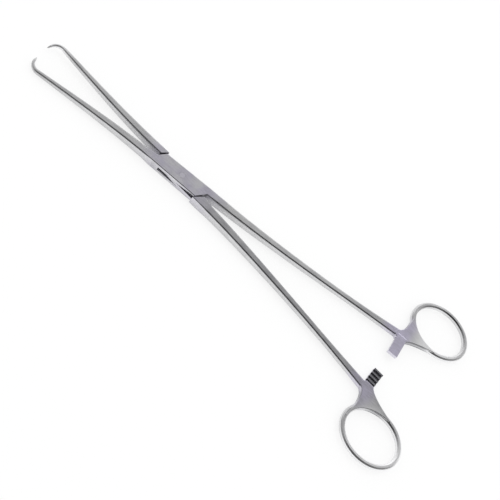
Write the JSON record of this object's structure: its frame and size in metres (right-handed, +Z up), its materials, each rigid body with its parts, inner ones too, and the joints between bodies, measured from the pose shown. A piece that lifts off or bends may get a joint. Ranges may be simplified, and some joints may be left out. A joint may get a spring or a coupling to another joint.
{
  "type": "uterine tenaculum forceps",
  "caption": "Long slim ring-handled tenaculum forceps with a sharp hook on each jaw, a box lock and a toothed ratchet, standing slightly open.",
  "frame": {"origin": "on the hinge axis, in the flat underside of the lock, where the end of the pin is ground flush", "axes": "+X from the pin to the finger rings along the line halfway between the arms, +Y towards the box arm's ring, +Z up out of the lock along the pin"},
  "size_m": [0.2494, 0.1002, 0.0055],
  "materials": {
    "arm_steel": "satin stainless steel",
    "pin_steel": "satin stainless steel, ends ground flush"
  },
  "bodies": {
    "box_half": {"box_arm": "arm_steel", "lock_pin": "pin_steel"},
    "tongue_half": {"tongue_arm": "arm_steel"}
  },
  "joints": [
    {"name": "box_lock_hinge", "type": "hinge", "parent": "box_half", "child": "tongue_half", "pos_m": [0, 0, 0.00275], "axis": [0, 0, 1], "range_deg": [-45, 6]}
  ]
}
